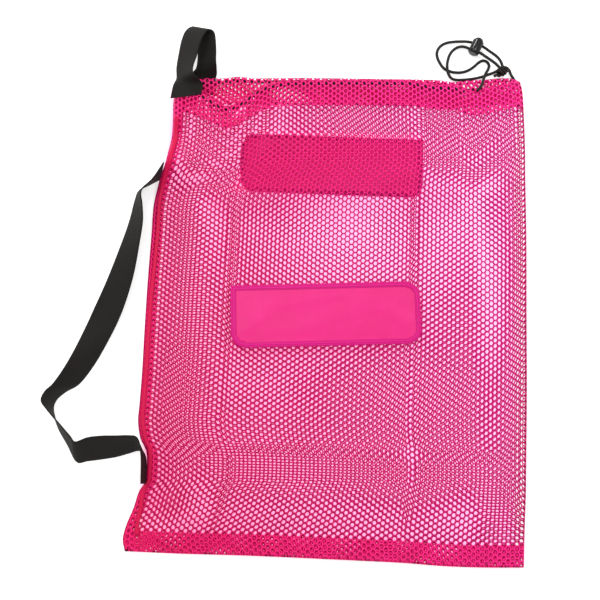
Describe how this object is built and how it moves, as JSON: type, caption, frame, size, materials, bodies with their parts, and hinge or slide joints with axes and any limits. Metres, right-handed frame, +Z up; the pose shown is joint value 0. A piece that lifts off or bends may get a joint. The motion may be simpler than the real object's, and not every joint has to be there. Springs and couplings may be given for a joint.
{
  "type": "mesh drawstring equipment bag",
  "caption": "Flat rectangular mesh bag with a drawcord mouth, cord lock, webbing hang loop, side carry strap and sewn patches, lying on its back.",
  "frame": {"origin": "on the surface that the bag lies on, under the middle of the bag and its webbing", "axes": "+Y from the bottom hem to the mouth, +X from the seamed side to the folded side, +Z up"},
  "size_m": [0.573, 0.6658, 0.0435],
  "materials": {
    "net": "knitted polyester hexagonal net, pink",
    "seam_tape": "woven seam tape, red pink",
    "patch": "coated nylon cloth, pink",
    "binding": "woven binding tape, magenta",
    "webbing": "black polypropylene webbing",
    "cord": "black braided cord",
    "lock": "moulded black nylon, satin"
  },
  "bodies": {
    "bag": {"mesh_body": "net", "side_tape": "seam_tape", "front_patch": "patch", "front_patch_binding": "binding", "back_patch": "patch", "back_patch_binding": "binding", "carry_strap": "webbing", "hang_loop": "webbing", "drawcord_channel": "cord", "drawcord_a": "cord", "drawcord_b": "cord", "end_knot": "cord", "cord_lock_barrel": "lock"},
    "lock_button": {"cord_lock_button": "lock"}
  },
  "joints": [
    {"name": "lock_button_press", "type": "slide", "parent": "bag", "child": "lock_button", "axis": [-0.4384, -0.8988, 0], "range_m": [0, 0.0032], "stiffness_N_per_m": 800}
  ]
}
